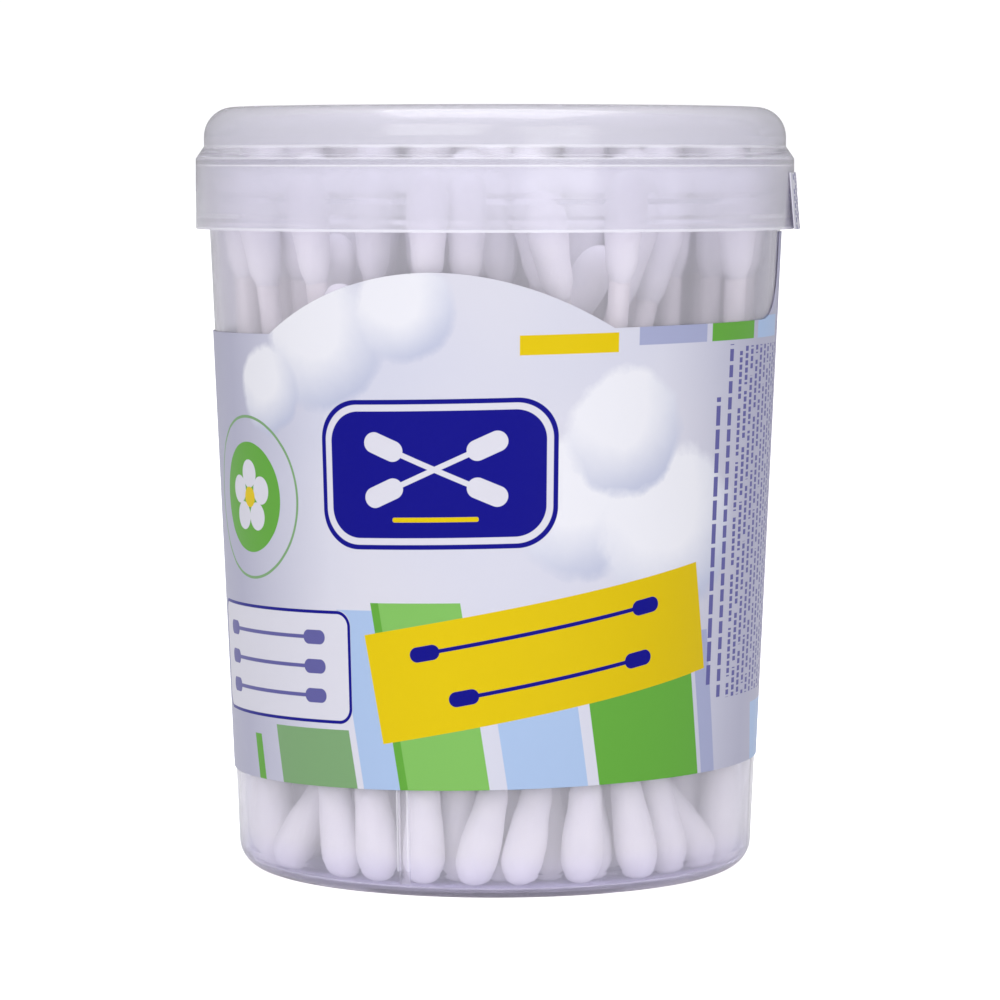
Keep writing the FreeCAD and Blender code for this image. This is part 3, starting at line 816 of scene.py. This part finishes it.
def add_bud(mesh, tip, along):
    """One lumpy, rounded bud from its tip along the stick."""
    turn = along.to_track_quat("Z", "Y")
    seed = tip * LUMP_SPREAD
    rings = []
    for station in bud_stations():
        ring = []
        for side in range(BUD_SIDES):
            angle = 2 * math.pi * side / BUD_SIDES
            radius = bud_radius(station)
            spot = Vector((radius * math.cos(angle), radius * math.sin(angle), station))
            lump = noise.noise(spot / LUMP_SIZE + seed) - LUMP_LEVEL
            radius += LUMP_HEIGHT * lump
            spot.x, spot.y = radius * math.cos(angle), radius * math.sin(angle)
            ring.append(mesh.verts.new(tip + turn @ (spot * MM)))
        rings.append(ring)
    end = mesh.verts.new(tip)
    for side in range(BUD_SIDES):
        following = (side + 1) % BUD_SIDES
        mesh.faces.new((end, rings[0][following], rings[0][side]))
        for low, high in zip(rings, rings[1:]):
            mesh.faces.new((low[side], low[following], high[following], high[side]))
    mesh.faces.new(rings[-1])


def make_buds(ring, material):
    """The cotton buds of one ring of swabs, in place of its plain solids."""
    mesh = bmesh.new()
    for low, high in stick_ends(f"swab_sticks_ring_{ring}"):
        along = (high - low).normalized()
        cover = along * (STICK_END_COVER * MM)
        add_bud(mesh, low - cover, along)
        add_bud(mesh, high + cover, -along)
    bmesh.ops.recalc_face_normals(mesh, faces=mesh.faces)
    for face in mesh.faces:
        face.smooth = True
    data = bpy.data.meshes.new(f"cotton_buds_ring_{ring}")
    mesh.to_mesh(data)
    mesh.free()
    data.materials.append(material)
    piece = bpy.data.objects.new(data.name, data)
    bpy.context.collection.objects.link(piece)
    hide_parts(f"swab_cotton_ring_{ring}")
    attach(piece, TUB_BODY)


def make_stage():
    """A wide pale floor, so bright that it runs into the white behind it."""
    half = FLOOR_HALF
    data = bpy.data.meshes.new("floor")
    corners = [(-half, -half, 0), (half, -half, 0), (half, half, 0), (-half, half, 0)]
    data.from_pydata(corners, [], [(0, 1, 2, 3)])
    shade = Shade("pale_floor")
    shade.set(Base_Color=FLOOR_COLOUR, Roughness=FLOOR_ROUGHNESS)
    shade.shader.inputs["Specular IOR Level"].default_value = FLOOR_SPECULAR
    shade.shader.inputs["Emission Color"].default_value = (1, 1, 1, 1)
    seen = shade.node("ShaderNodeLightPath").outputs["Is Camera Ray"]
    glow = shade.sum("MULTIPLY", seen, FLOOR_GLOW)
    shade.feed(shade.shader.inputs["Emission Strength"], glow)
    data.materials.append(shade.material)
    floor = bpy.data.objects.new("floor", data)
    bpy.context.collection.objects.link(floor)


def make_lamp(name, place, size, power):
    """A rectangular lamp that points at the lit spot."""
    data = bpy.data.lights.new(name, "AREA")
    data.shape = "RECTANGLE"
    data.size, data.size_y = size
    data.energy = power
    light = bpy.data.objects.new(name, data)
    light.location = place
    light.rotation_mode = "QUATERNION"
    light.rotation_quaternion = (LIT_SPOT - Vector(place)).to_track_quat("-Z", "Y")
    bpy.context.collection.objects.link(light)


def make_room():
    """The room's own light: brighter in front of the tub than behind it, white to see."""
    world = bpy.data.worlds.new("studio")
    world.use_nodes = True
    tree = world.node_tree
    nodes, links = tree.nodes, tree.links
    direction = nodes.new("ShaderNodeTexCoord").outputs["Generated"]
    toward = nodes.new("ShaderNodeVectorMath")
    toward.operation = "DOT_PRODUCT"
    links.new(direction, toward.inputs[0])
    turn = math.radians(CAMERA_TURN)
    front = Vector((math.sin(turn), -math.cos(turn), ROOM_FRONT_RISE)).normalized()
    toward.inputs[1].default_value = front
    level = nodes.new("ShaderNodeMapRange")
    links.new(toward.outputs["Value"], level.inputs["Value"])
    for name, number in zip(("From Min", "From Max", "To Min", "To Max"), ROOM_LEVELS):
        level.inputs[name].default_value = number
    path = nodes.new("ShaderNodeLightPath")
    through = nodes.new("ShaderNodeMath")
    through.operation = "MULTIPLY_ADD"
    links.new(path.outputs["Is Transmission Ray"], through.inputs[0])
    through.inputs[1].default_value = ROOM_THROUGH
    links.new(level.outputs[0], through.inputs[2])
    either = nodes.new("ShaderNodeMix")
    links.new(path.outputs["Is Camera Ray"], either.inputs["Factor"])
    links.new(through.outputs[0], either.inputs["A"])
    either.inputs["B"].default_value = ROOM_WHITE
    background = nodes["Background"]
    background.inputs["Color"].default_value = ROOM_COLOUR
    links.new(either.outputs["Result"], background.inputs["Strength"])
    bpy.context.scene.world = world


def make_lights():
    """Soft studio light: the room's own and the lamps'."""
    make_room()
    for lamp in LAMPS:
        make_lamp(*lamp)


def make_camera():
    """The photograph's camera, with the tub's axis a little left of the middle."""
    data = bpy.data.cameras.new("camera")
    data.sensor_width = SENSOR
    data.lens = SENSOR * FOCAL_PIXELS / PICTURE_SIDE
    data.clip_start, data.clip_end = CLIP_NEAR, CLIP_FAR
    camera = bpy.data.objects.new("camera", data)
    turn = math.radians(CAMERA_TURN)
    camera.location = (
        CAMERA_DISTANCE * math.sin(turn),
        -CAMERA_DISTANCE * math.cos(turn),
        CAMERA_HEIGHT,
    )
    aside = math.atan((PICTURE_SIDE / 2 - AXIS_PIXEL) / FOCAL_PIXELS)
    camera.rotation_euler = (math.radians(90 - CAMERA_PITCH), 0, turn - aside)
    bpy.context.collection.objects.link(camera)
    bpy.context.scene.camera = camera


bpy.context.scene.view_settings.view_transform = "Standard"
make_stage()
make_lights()
make_camera()

dress("tub", clear_plastic())
dress("lid", milky_plastic())
dress("label", print_wrap())
dress("lid_seal", print_seal())
paper, cotton = rolled_paper(), cotton_wool()
stick_nodes = [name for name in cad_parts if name.startswith("swab_sticks_ring_")]
for name in sorted(stick_nodes):
    dress(name, paper)
    make_buds(int(name.rsplit("_", 1)[1]), cotton)
